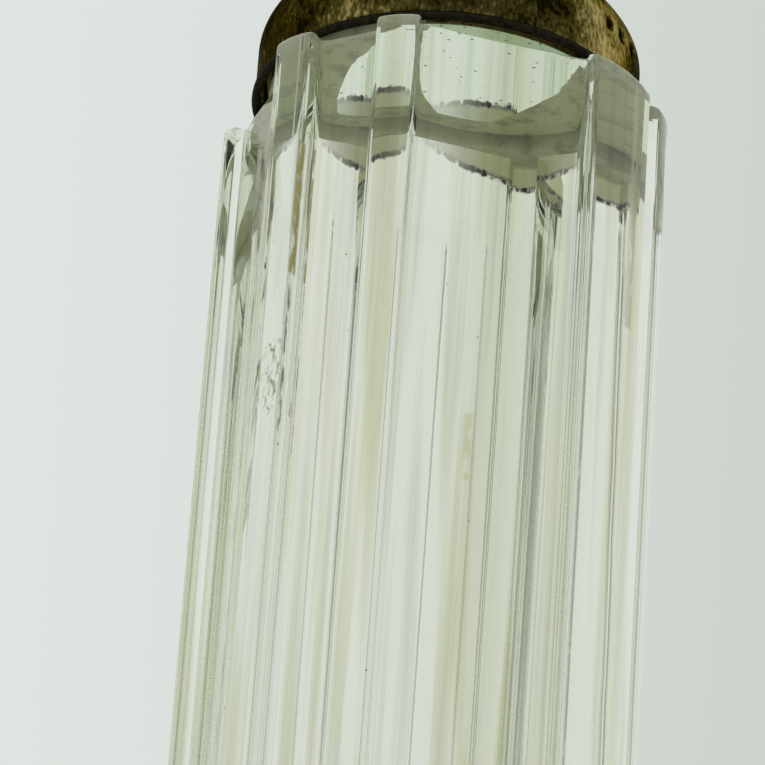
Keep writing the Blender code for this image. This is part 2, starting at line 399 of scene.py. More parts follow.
    def _seat(
        self, tree: bpy.types.NodeTree, place: bpy.types.NodeSocket, parts: bpy.types.Node
    ) -> tuple[bpy.types.NodeSocket, bpy.types.NodeSocket]:
        """Olive cement with a ragged edge round a clean tongue, and dark specks on the tongue."""
        ragged = add_node(
            tree, "ShaderNodeTexNoise", {"Vector": place, "Scale": 1.0 / (0.8 * MM), "Detail": 5.0}
        ).outputs["Fac"]
        aside = add_node(
            tree,
            "ShaderNodeMath",
            {0: parts.outputs["X"], 1: self.tongue_tip_mm[0] * MM},
            operation="SUBTRACT",
        ).outputs["Value"]
        squared = add_node(tree, "ShaderNodeMath", {0: aside, 1: aside}, operation="MULTIPLY").outputs["Value"]
        bent = add_node(
            tree,
            "ShaderNodeMath",
            {0: squared, 1: 1.0 / (self.tongue_width_mm * MM), 2: parts.outputs["Y"]},
            operation="MULTIPLY_ADD",
        ).outputs["Value"]
        past_tip = self._past(tree, bent, ragged, self.tongue_tip_mm[1])
        offset = add_node(tree, "ShaderNodeMath", {0: aside}, operation="ABSOLUTE").outputs["Value"]
        past_side = self._past(tree, offset, ragged, self.tongue_half_mm)
        smeared = add_node(
            tree, "ShaderNodeMath", {0: past_tip, 1: past_side}, operation="MAXIMUM"
        ).outputs["Value"]
        clean = self._thin_rim(tree, parts)
        cement = add_node(
            tree, "ShaderNodeMath", {0: smeared, 1: clean}, operation="SUBTRACT", use_clamp=True
        ).outputs["Value"]
        speck = self._specks(tree, place, self.speck_mm, 0.2)
        mask = add_node(tree, "ShaderNodeMath", {0: cement, 1: speck}, operation="MAXIMUM").outputs["Value"]
        shade = add_node(
            tree, "ShaderNodeTexNoise", {"Vector": place, "Scale": 1.0 / (1.6 * MM), "Detail": 5.0}
        )
        ramp = add_node(tree, "ShaderNodeValToRGB", {"Fac": shade.outputs["Fac"]})
        tone = ramp_stops(ramp, [(0.3, linear(self.olive_dark)), (0.5, linear(self.olive))])
        colour = add_node(
            tree,
            "ShaderNodeMix",
            {MIX_FACTOR: speck, MIX_A: tone, MIX_B: linear(self.olive_dark)},
            data_type="RGBA",
        ).outputs[MIX_RESULT]
        return mask, colour

    def _thin_rim(self, tree: bpy.types.NodeTree, parts: bpy.types.Node) -> bpy.types.NodeSocket:
        """How much of the cement is missing on the collar: a little all round, and all of it on one side."""
        low, high = (math.radians(bearing) for bearing in self.clean_rim_bearings)
        stretch = self._within(tree, self._bearing(tree, parts), low, high, 0.1 * (high - low))
        flat = add_node(tree, "ShaderNodeCombineXYZ", {0: parts.outputs["X"], 1: parts.outputs["Y"]})
        radius = add_node(
            tree, "ShaderNodeVectorMath", {0: flat.outputs["Vector"]}, operation="LENGTH"
        ).outputs["Value"]
        outside = add_node(
            tree, "ShaderNodeMath", {0: radius, 1: self.rim_mm * MM}, operation="GREATER_THAN"
        ).outputs["Value"]
        missing = add_node(
            tree, "ShaderNodeMath", {0: stretch, 1: self.rim_film}, operation="MAXIMUM"
        ).outputs["Value"]
        return add_node(tree, "ShaderNodeMath", {0: missing, 1: outside}, operation="MULTIPLY").outputs["Value"]

    @staticmethod
    def _bearing(tree: bpy.types.NodeTree, parts: bpy.types.Node) -> bpy.types.NodeSocket:
        """The bearing of a point round the axis, in radians."""
        return add_node(
            tree,
            "ShaderNodeMath",
            {0: parts.outputs["Y"], 1: parts.outputs["X"]},
            operation="ARCTAN2",
        ).outputs["Value"]

    def _past(
        self,
        tree: bpy.types.NodeTree,
        value: bpy.types.NodeSocket,
        ragged: bpy.types.NodeSocket,
        edge_mm: float,
    ) -> bpy.types.NodeSocket:
        """1 where a distance lies past a ragged edge, else 0.

        Args:
            tree: Node tree of the material.
            value: The distance, in metres.
            ragged: Noise round 0.5 that shifts the edge.
            edge_mm: Where the edge runs, in millimetres.

        Returns:
            The socket with the result.
        """
        shifted = add_node(
            tree,
            "ShaderNodeMath",
            {0: ragged, 1: self.ragged_mm * MM, 2: value},
            operation="MULTIPLY_ADD",
        ).outputs["Value"]
        edge = (edge_mm + 0.5 * self.ragged_mm) * MM
        return add_node(
            tree,
            "ShaderNodeMapRange",
            {"Value": shifted, "From Min": edge, "From Max": edge + 0.1 * MM},
        ).outputs["Result"]

    @staticmethod
    def _within(
        tree: bpy.types.NodeTree, value: bpy.types.NodeSocket, low: float, high: float, soft: float
    ) -> bpy.types.NodeSocket:
        """1 where a value lies between low and high, falling to 0 over a soft edge inside them."""
        off = add_node(
            tree, "ShaderNodeMath", {0: value, 1: 0.5 * (low + high)}, operation="SUBTRACT"
        ).outputs["Value"]
        far = add_node(tree, "ShaderNodeMath", {0: off}, operation="ABSOLUTE").outputs["Value"]
        half = 0.5 * (high - low)
        return add_node(
            tree,
            "ShaderNodeMapRange",
            {"Value": far, "From Min": half - soft, "From Max": half, "To Min": 1.0, "To Max": 0.0},
        ).outputs["Result"]

    def _streaks(
        self, tree: bpy.types.NodeTree, place: bpy.types.NodeSocket, parts: bpy.types.Node
    ) -> tuple[bpy.types.NodeSocket, bpy.types.NodeSocket]:
        """Dirt that has run down the cuts, cement that has crept below the rim, and scattered specks."""
        bearing = self._bearing(tree, parts)
        broken = add_node(
            tree, "ShaderNodeTexNoise", {"Vector": place, "Scale": 1.0 / (0.5 * MM), "Detail": 5.0}
        ).outputs["Fac"]
        dirt = self._lengthwise(tree, place, *self.dirt_mm)
        level = add_node(
            tree,
            "ShaderNodeMath",
            {0: broken, 1: -self.ragged_mm * MM, 2: parts.outputs["Z"]},
            operation="MULTIPLY_ADD",
        ).outputs["Value"]
        mask = self._specks(tree, place, self.open_speck_mm, 0.04)
        colour: Union[Colour, bpy.types.NodeSocket] = linear(self.olive_dark)
        for stain in self.stains:
            middle, half = math.radians(stain.bearing), math.radians(stain.half_width)
            across = self._within(tree, bearing, middle - half, middle + half, 0.7 * half)
            drop = 0.5 * self.ragged_mm
            along = self._within(
                tree,
                self._drawn_up(tree, level, bearing, stain),
                (stain.low - drop) * MM,
                (stain.high - drop) * MM,
                0.15 * MM,
            )
            area = add_node(tree, "ShaderNodeMath", {0: across, 1: along}, operation="MULTIPLY")
            patches = add_node(
                tree,
                "ShaderNodeMapRange",
                {
                    "Value": dirt,
                    "From Min": stain.patchy - 0.15,
                    "From Max": stain.patchy,
                    "To Max": stain.strength,
                },
            ).outputs["Result"]
            spot = add_node(
                tree, "ShaderNodeMath", {0: area.outputs["Value"], 1: patches}, operation="MULTIPLY"
            ).outputs["Value"]
            colour = add_node(
                tree,
                "ShaderNodeMix",
                {MIX_FACTOR: area.outputs["Value"], MIX_A: colour, MIX_B: linear(stain.colour)},
                data_type="RGBA",
            ).outputs[MIX_RESULT]
            mask = add_node(tree, "ShaderNodeMath", {0: mask, 1: spot}, operation="MAXIMUM").outputs["Value"]
        return mask, colour

    @staticmethod
    def _drawn_up(
        tree: bpy.types.NodeTree,
        level: bpy.types.NodeSocket,
        bearing: bpy.types.NodeSocket,
        stain: Stain,
    ) -> bpy.types.NodeSocket:
        """The level that a stain is measured at, which falls off to its sides where it is bowed."""
        if stain.bow == 0.0:
            return level
        off = add_node(
            tree, "ShaderNodeMath", {0: bearing, 1: math.radians(stain.bearing)}, operation="SUBTRACT"
        ).outputs["Value"]
        squared = add_node(tree, "ShaderNodeMath", {0: off, 1: off}, operation="MULTIPLY").outputs["Value"]
        slope = -stain.bow * MM / math.radians(stain.half_width) ** 2
        return add_node(
            tree, "ShaderNodeMath", {0: squared, 1: slope, 2: level}, operation="MULTIPLY_ADD"
        ).outputs["Value"]


@dataclass(frozen=True)
class WornGilt:
    """Gilt metal, raised and stamped, that has lost its polish.

    Dark olive-brown tarnish fills the pits, the dents and the middle of the wall, the last also as painted
    shade. Bright gold shows through in patches and on one side, where hands and the marks' edges have taken the
    tarnish off and where the brighter gold is also a painted highlight for the light that falls on that side.
    """

    name: str = "worn_gilt"
    tarnish: str = "#1A1708"
    brown: str = "#524A22"
    gold: str = "#C2B076"
    edge_tint: str = "#8E8A72"
    patch_mm: float = 3.0
    grain_mm: tuple[float, float] = (0.2, 0.4)
    grain_share: float = 0.6
    pit_mm: float = 0.45
    scratch_mm: float = 0.12
    # Bearing and strength of the side painted brighter gold: rubbing there, and a painted highlight where the
    # light falls.
    lit_and_rubbed_bearing: float = -48.0
    lit_and_rubbed_share: float = 1.0

    def material(self) -> bpy.types.Material:
        """Make the gilt."""
        made, tree, output = blank_material(self.name)
        place = add_node(tree, "ShaderNodeTexCoord", {}).outputs["Object"]
        wear_and_sheen = self._wear_and_sheen(tree, place)
        ramp = add_node(tree, "ShaderNodeValToRGB", {"Fac": wear_and_sheen})
        tone = ramp_stops(
            ramp,
            [(0.3, linear(self.tarnish)), (0.52, linear(self.brown)), (0.82, linear(self.gold))],
        )
        gloss = add_node(
            tree,
            "ShaderNodeMapRange",
            {"Value": wear_and_sheen, "From Min": 0.2, "From Max": 0.8, "To Min": 0.55, "To Max": 0.3},
        ).outputs["Result"]
        shader = add_node(
            tree,
            "ShaderNodeBsdfPrincipled",
            {
                "Base Color": tone,
                "Metallic": 1.0,
                "Specular Tint": linear(self.edge_tint),
                "Roughness": gloss,
                "Normal": self._relief(tree, place),
            },
        )
        tree.links.new(shader.outputs["BSDF"], output.inputs["Surface"])
        return made

    def _wear_and_sheen(self, tree: bpy.types.NodeTree, place: bpy.types.NodeSocket) -> bpy.types.NodeSocket:
        """How far the tarnish is gone: patches, more on one side as rubbing and painted highlight, a little
        less on every other side as painted shade, and less in the dents.
        """
        patches = add_node(
            tree,
            "ShaderNodeTexNoise",
            {"Vector": place, "Scale": 1.0 / (self.patch_mm * MM), "Detail": 7.0, "Roughness": 0.62},
        ).outputs["Fac"]
        turn = math.radians(self.lit_and_rubbed_bearing)
        side = add_node(
            tree,
            "ShaderNodeVectorMath",
            {0: place, 1: (math.cos(turn), math.sin(turn), 0.0)},
            operation="DOT_PRODUCT",
        ).outputs["Value"]
        # Painted highlight and rubbing: brighter gold on one side, and painted shade, a little darker, on every
        # other side.
        rubbed_and_lit = add_node(
            tree,
            "ShaderNodeMapRange",
            {
                "Value": side,
                "From Min": 10.2 * MM,
                "From Max": 11.2 * MM,
                "To Min": -0.05,
                "To Max": 0.3 * self.lit_and_rubbed_share,
            },
        ).outputs["Result"]
        across, along = self.grain_mm
        stretched = add_node(
            tree, "ShaderNodeMapping", {"Vector": place, "Scale": (1.0, 1.0, across / along)}
        ).outputs["Vector"]
        grain = add_node(
            tree,
            "ShaderNodeTexNoise",
            {"Vector": stretched, "Scale": 1.0 / (across * MM), "Detail": 3.0},
        ).outputs["Fac"]
        centred = add_node(
            tree, "ShaderNodeMath", {0: grain, 1: 0.5}, operation="SUBTRACT"
        ).outputs["Value"]
        mottled = add_node(
            tree,
            "ShaderNodeMath",
            {0: centred, 1: self.grain_share, 2: patches},
            operation="MULTIPLY_ADD",
        ).outputs["Value"]
        worn_and_lit = add_node(tree, "ShaderNodeMath", {0: mottled, 1: rubbed_and_lit}, operation="ADD").outputs["Value"]
        dent = add_node(tree, "ShaderNodeAttribute", {}, attribute_name="dent").outputs["Fac"]
        return add_node(
            tree, "ShaderNodeMath", {0: dent, 1: -0.35, 2: worn_and_lit}, operation="MULTIPLY_ADD"
        ).outputs["Value"]

    def _relief(self, tree: bpy.types.NodeTree, place: bpy.types.NodeSocket) -> bpy.types.NodeSocket:
        """Pits and fine scratches, as a normal."""
        pits = add_node(
            tree,
            "ShaderNodeTexNoise",
            {"Vector": place, "Scale": 1.0 / (self.pit_mm * MM), "Detail": 4.0, "Roughness": 0.6},
        )
        hammered = add_node(
            tree,
            "ShaderNodeBump",
            {"Height": pits.outputs["Fac"], "Strength": 0.5, "Distance": 0.06 * MM},
        )
        scratches = add_node(
            tree,
            "ShaderNodeTexNoise",
            {"Vector": place, "Scale": 1.0 / (self.scratch_mm * MM), "Detail": 2.0, "Distortion": 1.5},
        )
        fine = add_node(
            tree,
            "ShaderNodeBump",
            {
                "Height": scratches.outputs["Fac"],
                "Strength": 0.3,
                "Distance": 0.02 * MM,
                "Normal": hammered.outputs["Normal"],
            },
        )
        return fine.outputs["Normal"]


@dataclass(frozen=True)
class TurnedBrass:
    """Sheet brass, rolled and turned, dulled indoors.

    Brown-yellow with fine rings from the tool and darker clouds of tarnish.
    """

    name: str
    bright: str = "#A8904A"
    dull: str = "#6A5A2C"
    ring_mm: float = 0.16
    cloud_mm: float = 2.2

    def material(self) -> bpy.types.Material:
        """Make the brass."""
        made, tree, output = blank_material(self.name)
        place = add_node(tree, "ShaderNodeTexCoord", {}).outputs["Object"]
        clouds = add_node(
            tree,
            "ShaderNodeTexNoise",
            {"Vector": place, "Scale": 1.0 / (self.cloud_mm * MM), "Detail": 6.0},
        ).outputs["Fac"]
        ramp = add_node(tree, "ShaderNodeValToRGB", {"Fac": clouds})
        tone = ramp_stops(ramp, [(0.36, linear(self.dull)), (0.62, linear(self.bright))])
        gloss = add_node(
            tree, "ShaderNodeMapRange", {"Value": clouds, "To Min": 0.5, "To Max": 0.28}
        ).outputs["Result"]
        rings = add_node(
            tree,
            "ShaderNodeTexWave",
            {"Vector": place, "Scale": 1.0 / (2.0 * math.pi * self.ring_mm * MM), "Distortion": 0.6},
            wave_type="RINGS",
            rings_direction="Z",
        )
        grooves = add_node(
            tree,
            "ShaderNodeBump",
            {"Height": rings.outputs["Fac"], "Strength": 0.25, "Distance": 0.02 * MM},
        )
        shader = add_node(
            tree,
            "ShaderNodeBsdfPrincipled",
            {
                "Base Color": tone,
                "Metallic": 1.0,
                "Roughness": gloss,
                "Normal": grooves.outputs["Normal"],
            },
        )
        tree.links.new(shader.outputs["BSDF"], output.inputs["Surface"])
        return made


@dataclass(frozen=True)
class GrainedSolid:
    """A dull solid with grain: old resin cement, cut cork or turned boxwood.

    Two tones broken up by its grain, with small dark pores, and a surface that scatters light.
    """

    name: str
    light: str
    dark: str
    grain_mm: tuple[float, float, float]
    pore_mm: float
    pore: str
    pore_share: float
    roughness: float
    shine: float = 0.5

    def material(self) -> bpy.types.Material:
        """Make the solid's finish."""
        made, tree, output = blank_material(self.name)
        place = add_node(tree, "ShaderNodeTexCoord", {}).outputs["Object"]
        finest = min(self.grain_mm)
        stretched = add_node(
            tree,
            "ShaderNodeMapping",
            {"Vector": place, "Scale": tuple(finest / size for size in self.grain_mm)},
        ).outputs["Vector"]
        grain = add_node(
            tree,
            "ShaderNodeTexNoise",
            {"Vector": stretched, "Scale": 1.0 / (finest * MM), "Detail": 6.0, "Roughness": 0.6},
        ).outputs["Fac"]
        ramp = add_node(tree, "ShaderNodeValToRGB", {"Fac": grain})
        tone = ramp_stops(ramp, [(0.35, linear(self.dark)), (0.65, linear(self.light))])
        cells = add_node(
            tree, "ShaderNodeTexVoronoi", {"Vector": stretched, "Scale": 1.0 / (self.pore_mm * MM)}
        ).outputs["Distance"]
        pores = add_node(
            tree,
            "ShaderNodeMapRange",
            {
                "Value": cells,
                "From Min": 0.6 * self.pore_share,
                "From Max": self.pore_share,
                "To Min": 1.0,
                "To Max": 0.0,
            },
        ).outputs["Result"]
        colour = add_node(
            tree,
            "ShaderNodeMix",
            {MIX_FACTOR: pores, MIX_A: tone, MIX_B: linear(self.pore)},
            data_type="RGBA",
        ).outputs[MIX_RESULT]
        relief = add_node(
            tree,
            "ShaderNodeBump",
            {"Height": grain, "Strength": 0.5, "Distance": 0.05 * MM},
        ).outputs["Normal"]
        shader = add_node(
            tree,
            "ShaderNodeBsdfPrincipled",
            {
                "Base Color": colour,
                "Roughness": self.roughness,
                "Specular IOR Level": self.shine,
                "Normal": relief,
            },
        )
        tree.links.new(shader.outputs["BSDF"], output.inputs["Surface"])
        return made


def spun(profile: Profile, steps: int) -> BMesh:
    """Turn a profile round the axis.

    Args:
        profile: Radius and height of each point. If it starts on the axis it stays open there,
            otherwise it is closed into a ring.
        steps: Facets round the axis.

    Returns:
        The turned shape.
    """
    bm = bmesh.new()
    rail = [bm.verts.new((radius, 0.0, height)) for radius, height in profile]
    edges = [bm.edges.new(pair) for pair in zip(rail, rail[1:])]
    if profile[0][0] > 0.0:
        edges.append(bm.edges.new((rail[-1], rail[0])))
    bmesh.ops.spin(
        bm,
        geom=rail + edges,
        cent=(0.0, 0.0, 0.0),
        axis=(0.0, 0.0, 1.0),
        angle=2.0 * math.pi,
        steps=steps,
        use_merge=True,
    )
    bmesh.ops.remove_doubles(bm, verts=bm.verts[:], dist=1e-7)
    bmesh.ops.recalc_face_normals(bm, faces=bm.faces[:])
    return bm


def arc(centre: tuple[float, float], radius: float, start: float, end: float, steps: int) -> Profile:
    """Points of a circular arc.

    Args:
        centre: Middle of the arc.
        radius: Radius of the arc.
        start: First angle in degrees.
        end: Last angle in degrees.
        steps: Number of chords.

    Returns:
        The points, ends included.
    """
    points = []
    for index in range(steps + 1):
        angle = math.radians(start + (end - start) * index / steps)
        points.append((centre[0] + radius * math.cos(angle), centre[1] + radius * math.sin(angle)))
    return points


def run(start: tuple[float, float], end: tuple[float, float], steps: int) -> Profile:
    """Points along a straight stretch of a profile, the last one left out."""
    return [
        (
            start[0] + (end[0] - start[0]) * index / steps,
            start[1] + (end[1] - start[1]) * index / steps,
        )
        for index in range(steps)
    ]


def eased(value: float, low: float, high: float) -> float:
    """Rise smoothly from 0 at low to 1 at high."""
    share = min(1.0, max(0.0, (value - low) / (high - low)))
    return share * share * (3.0 - 2.0 * share)


def polar(radius: float, bearing: float) -> Vector:
    """A point in the plane at a radius and a bearing in radians."""
    return Vector((radius * math.cos(bearing), radius * math.sin(bearing)))


def add_piece(
    name: str,
    bm: BMesh,
    materials: Sequence[bpy.types.Material],
    body: Body,
    sharp: float = 35.0,
) -> bpy.types.Object:
    """Turn a bmesh into a piece that stands for the node of its name and rides on a body.

    Args:
        name: The node's name.
        bm: The piece's shape, in place.
        materials: The piece's materials, in slot order.
        body: The body that carries it.
        sharp: Angle in degrees above which an edge is shaded sharp.

    Returns:
        The piece.
    """
    mesh = bpy.data.meshes.new(f"{name}_visual")
    bm.to_mesh(mesh)
    bm.free()
    mesh.shade_smooth()
    mesh.set_sharp_from_angle(angle=math.radians(sharp))
    for item in materials:
        mesh.materials.append(item)
    piece = bpy.data.objects.new(f"{name}_visual", mesh)
    bpy.context.scene.collection.objects.link(piece)
    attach(piece, body.value)
    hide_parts(name)
    LOG.info("%s: %d faces on %s", piece.name, len(mesh.polygons), body.value)
    return piece


@dataclass(frozen=True)
class Thread:
    """The two-start thread of the ferrule and the cap: its crest and root from the plain wall, in mm."""

    crest: float
    root: float
    pitch: float = 1.5
    starts: int = 2
    run_out: float = 0.45

    def cut(self, bm: BMesh, wall: float, low: float, high: float, outward: bool) -> None:
        """Raise and sink a turned wall into a right-hand thread.

        Args:
            bm: The turned shape.
            wall: Radius of the wall that carries the thread, in metres.
            low: Lowest level of the thread, in metres.
            high: Highest level of the thread, in metres.
            outward: True for an outer thread, False for an inner one.
        """
        sign = 1.0 if outward else -1.0
        fade = self.run_out * MM
        for vert in bm.verts:
            radius = math.hypot(vert.co.x, vert.co.y)
            if abs(radius - wall) > 1e-6 or not low < vert.co.z < high:
                continue
            turns = math.atan2(vert.co.y, vert.co.x) / (2.0 * math.pi)
            phase = 2.0 * math.pi * (vert.co.z / (self.pitch * MM) - self.starts * turns)
            ridge = eased(math.cos(phase), -0.7, 0.7)
            ends = eased(vert.co.z, low, low + fade) * (1.0 - eased(vert.co.z, high - fade, high))
            step = (self.crest * ridge - self.root * (1.0 - ridge)) * ends * sign * MM
            vert.co.x *= 1.0 + step / radius
            vert.co.y *= 1.0 + step / radius


@dataclass(frozen=True)
class Chip:
    """A shell-shaped flake knocked off a rib: its bearing in degrees, and its level, radius and depth in mm."""

    bearing: float
    level: float
    radius: float
    depth: float


@dataclass
class GlassVial:
    """The cut glass with its neck, and the ferrule that is cemented on it. Sizes are in millimetres."""

    length: float = 62.0
    rib_radius: float = 12.75
    rib_crown: float = 0.12
    rib_top_round: float = 0.5
    rib_edge: float = 0.28
    panel_width: float = 10.2
    panel_recess: float = 2.5
    panel_hollow: float = 0.3
    panel_root: float = 0.5
    notch_width: float = 4.2
    notch_depth: float = 1.8
    notch_hollow: float = 0.15
    notch_root: float = 0.4
    base_chamfer: float = 0.35
    pontil_radius: float = 4.5
    pontil_depth: float = 0.35
    collar_inset: float = 0.05
    collar_height: float = 1.2
    neck_radius: float = 9.25
    lip_round: float = 0.25
    well_radius: float = 8.2
    well_floor: float = 0.9
    undercut_depth: float = 1.5
    undercut_height: float = 0.08
    neck_sink: float = 0.5
    bond_gap: float = 0.05
    ferrule_wall: float = 0.3
    flange_overhang: float = 0.3
    flange_thickness: float = 0.25
    thread: Thread = Thread(0.08, 0.12)
    panel_steps: int = 32
    notch_steps: int = 14
    crown_steps: int = 4
    edge_steps: int = 8
    turn_steps: int = 192
    narrow_bearing: float = -45.0
    narrow_wall: float = 0.7
    narrow_root: float = 0.2
    scored_panel: float = 90.0
    scored_lines: tuple[float, ...] = (-0.5, -3.4)
    scored_width: float = 0.5
    scored_depth: float = 0.15
    scored_low: float = 54.0
    scored_high: float = 58.0
    chips: tuple[Chip, ...] = (
        Chip(-146.0, 42.4, 1.0, 0.13),
        Chip(-148.0, 41.5, 0.9, 0.2),
        Chip(-146.4, 40.7, 1.2, 0.2),
        Chip(-149.0, 40.2, 0.8, 0.16),
        Chip(-147.0, 39.5, 1.0, 0.22),
        Chip(-149.2, 38.8, 0.8, 0.14),
        Chip(-147.6, 38.2, 0.7, 0.12),
        Chip(-144.9, 41.7, 0.7, 0.12),
        Chip(-145.0, 40.1, 0.8, 0.15),
        Chip(-145.2, 38.8, 0.7, 0.12),
        Chip(-148.6, 42.1, 0.45, 0.1),
        Chip(-146.9, 41.4, 0.4, 0.16),
        Chip(-145.5, 41.0, 0.4, 0.14),
        Chip(-148.2, 39.8, 0.4, 0.14),
        Chip(-145.9, 39.5, 0.45, 0.14),
        Chip(-146.5, 38.4, 0.4, 0.1),
    )

    def build(self) -> None:
        """Build and dress the glass, the cement and the ferrule."""
        glass = CutGlass()
        self._glass([glass.material(zone) for zone in Zone])
        cement = GrainedSolid(
            "old_resin_cement", "#8F8A5C", "#5F5B38", (0.5, 0.5, 0.5), 0.8, "#3A3722", 0.2, 0.85
        )
        add_piece("neck_cement", self._cement(), [cement.material()], Body.VIAL)
        brass = TurnedBrass("rolled_ferrule_brass")
        add_piece("neck_ferrule", self._ferrule(), [brass.material()], Body.VIAL)

    def _quarter(self, turn: float) -> list[tuple[Vector, float]]:
        """Corners of one quarter of the outline.

        Args:
            turn: Bearing of the quarter's panel, in radians.

        Returns:
            Each corner with its edge radius, in millimetres.
        """
        normal = polar(1.0, turn)
        along = normal.orthogonal()
        diagonal = polar(1.0, turn + 0.25 * math.pi)
        across = diagonal.orthogonal()
        half_panel = 0.5 * self.panel_width
        half_notch = 0.5 * self.notch_width
        panel_angle = math.asin(half_panel / self.rib_radius)
        narrow = abs(turn + 0.25 * math.pi - math.radians(self.narrow_bearing)) < 1e-6
        near = self.narrow_wall if narrow else -half_notch
        near_angle = 0.25 * math.pi + math.asin(near / self.rib_radius)
        far_angle = 0.25 * math.pi + math.asin(half_notch / self.rib_radius)
        corners = self._hollow(
            normal, along, self.rib_radius - self.panel_recess, -half_panel, half_panel, self.panel_hollow,
            self.panel_steps, self.panel_root,
        )
        if abs(turn - math.radians(self.scored_panel)) < 1e-6:
            corners = self._scored(corners, normal, along)
        corners += self._rib(turn + panel_angle, turn + near_angle)
        corners += self._hollow(
            diagonal, across, self.rib_radius - self.notch_depth, near, half_notch, self.notch_hollow,
            self.notch_steps, self.narrow_root if narrow else self.notch_root,
        )
        corners += self._rib(turn + far_angle, turn + 0.5 * math.pi - panel_angle)
        return corners

    def _rib(self, start: float, end: float) -> list[tuple[Vector, float]]:
        """Points across a crowned rib from one bearing to the other, with a radius at both edges."""
        points = []
        for step in range(self.crown_steps + 1):
            share = 2.0 * step / self.crown_steps - 1.0
            radius = self.rib_radius + self.rib_crown * (1.0 - share * share)
            edge = self.rib_edge if step in (0, self.crown_steps) else 0.0
            points.append((polar(radius, start + 0.5 * (end - start) * (1.0 + share)), edge))
        return points

    @staticmethod
    def _hollow(
        normal: Vector,
        along: Vector,
        distance: float,
        start: float,
        end: float,
        hollow: float,
        steps: int,
        root: float,
    ) -> list[tuple[Vector, float]]:
        """Points across a hollow-ground cut from start to end, with a root radius at both ends."""
        points = []
        half = 0.5 * (end - start)
        for index in range(steps + 1):
            share = 2.0 * index / steps - 1.0
            at_end = index in (0, steps)
            if not at_end and half * (1.0 - abs(share)) < 1.2 * root:
                continue
            point = normal * (distance + hollow * share * share) + along * (start + half * (1.0 + share))
            points.append((point, root if at_end else 0.0))
        return points

    def _scored(
        self, corners: Sequence[tuple[Vector, float]], normal: Vector, along: Vector
    ) -> list[tuple[Vector, float]]:
        """Sink the fine lengthwise lines that the wheel scored into one panel.

        Args:
            corners: Points across the panel, each with its edge radius.
            normal: Unit vector out of the panel.
            along: Unit vector across the panel.

        Returns:
            The points with those of the lines among them.
        """
        half = 0.5 * self.scored_width
        kept = []
        for point, edge in corners:
            if all(abs(point.dot(along) - line) > half for line in self.scored_lines):
                kept.append((point, edge))
        bottom = self.rib_radius - self.panel_recess
        for line in self.scored_lines:
            for step in range(-self.edge_steps // 2, self.edge_steps // 2 + 1):
                share = 2.0 * step / self.edge_steps
                offset = line + half * share
                hollow = self.panel_hollow * (2.0 * offset / self.panel_width) ** 2
                depth = 0.5 * self.scored_depth * (1.0 + math.cos(math.pi * share))
                kept.append((normal * (bottom + hollow - depth) + along * offset, 0.0))
        return sorted(kept, key=lambda corner: corner[0].dot(along))

    def _rounded(self, corners: Sequence[tuple[Vector, float]]) -> list[Vector]:
        """Replace each corner that has a radius by an arc.

        Args:
            corners: Corners of a closed outline, each with its radius.

        Returns:
            Points of the rounded outline.
        """
        outline = []
        for index, (point, radius) in enumerate(corners):
            if radius == 0.0:
                outline.append(point)
                continue
            before = (corners[index - 1][0] - point).normalized()
            after = (corners[(index + 1) % len(corners)][0] - point).normalized()
            half = 0.5 * before.angle(after)
            centre = point + (before + after).normalized() * (radius / math.sin(half))
            arm = point + before * (radius / math.tan(half)) - centre
            sweep = -arm.angle_signed(point + after * (radius / math.tan(half)) - centre)
            for step in range(self.edge_steps + 1):
                turned = arm.copy()
                turned.rotate(Matrix.Rotation(sweep * step / self.edge_steps, 2))
                outline.append(centre + turned)
        return outline

    def _column(self) -> BMesh:
        """The pillared column, extruded from its outline and drawn in at the rib tops and the base."""
        corners = []
        for quarter in range(4):
            corners += self._quarter(0.5 * math.pi * (quarter - 1))
        bm = bmesh.new()
        full = bm.verts.layers.float_vector.new("full_outline")
        floor = bm.faces.new([bm.verts.new((*point, 0.0)) for point in self._rounded(corners)])
        for vert in floor.verts:
            vert[full] = vert.co
        core = self.rib_radius - self.notch_depth
        layers = [(self.base_chamfer, 0.0)]
        for step in range(self.edge_steps + 1):
            share = step / self.edge_steps
            layers.append((self.scored_low + (self.scored_high - self.scored_low) * share, 0.0))
        for step in range(self.edge_steps + 1):
            angle = 0.5 * math.pi * step / self.edge_steps
            inset = self.rib_top_round * (1.0 - math.cos(angle))
            layers.append((self.length - self.rib_top_round * (1.0 - math.sin(angle)), inset))
        top = floor
        for height, inset in layers:
            made = bmesh.ops.extrude_face_region(bm, geom=[top])["geom"]
            if top is not floor:
                bmesh.ops.delete(bm, geom=[top], context="FACES_ONLY")
            top = next(item for item in made if isinstance(item, BMFace))
            for vert in top.verts:
                vert.co = self._drawn_in(self._unscored(vert[full], height), inset, core, height)
        for vert in bm.verts:
            if vert.co.z == 0.0:
                vert.co = self._drawn_in(vert[full], self.base_chamfer, 0.0, 0.0)
        bm.verts.layers.float_vector.remove(full)
        bmesh.ops.scale(bm, vec=(MM, MM, MM), verts=bm.verts[:])
        bmesh.ops.recalc_face_normals(bm, faces=bm.faces[:])
        return bm

    def _unscored(self, point: Vector, height: float) -> Vector:
        """Let the scored lines run out below the shoulder."""
        normal = polar(1.0, math.radians(self.scored_panel))
        offset = point.xy.dot(normal.orthogonal())
        hollow = self.panel_hollow * (2.0 * offset / self.panel_width) ** 2
        sunk = self.rib_radius - self.panel_recess + hollow - point.xy.dot(normal)
        if abs(offset) > 0.5 * self.panel_width or not 0.0 < sunk <= 1.01 * self.scored_depth:
            return point
        moved = point.xy + normal * (sunk * eased(height, self.scored_low, self.scored_high))
        return Vector((moved.x, moved.y, point.z))

    def _drawn_in(self, point: Vector, inset: float, core: float, height: float) -> Vector:
        """Draw a point of the outline in towards the axis, in full at the ribs and not inside core."""
        share = min(1.0, max(0.0, (point.length - core) / (self.rib_radius - core)))
        drawn = point * (1.0 - inset * share / point.length)
        return Vector((drawn.x, drawn.y, height))

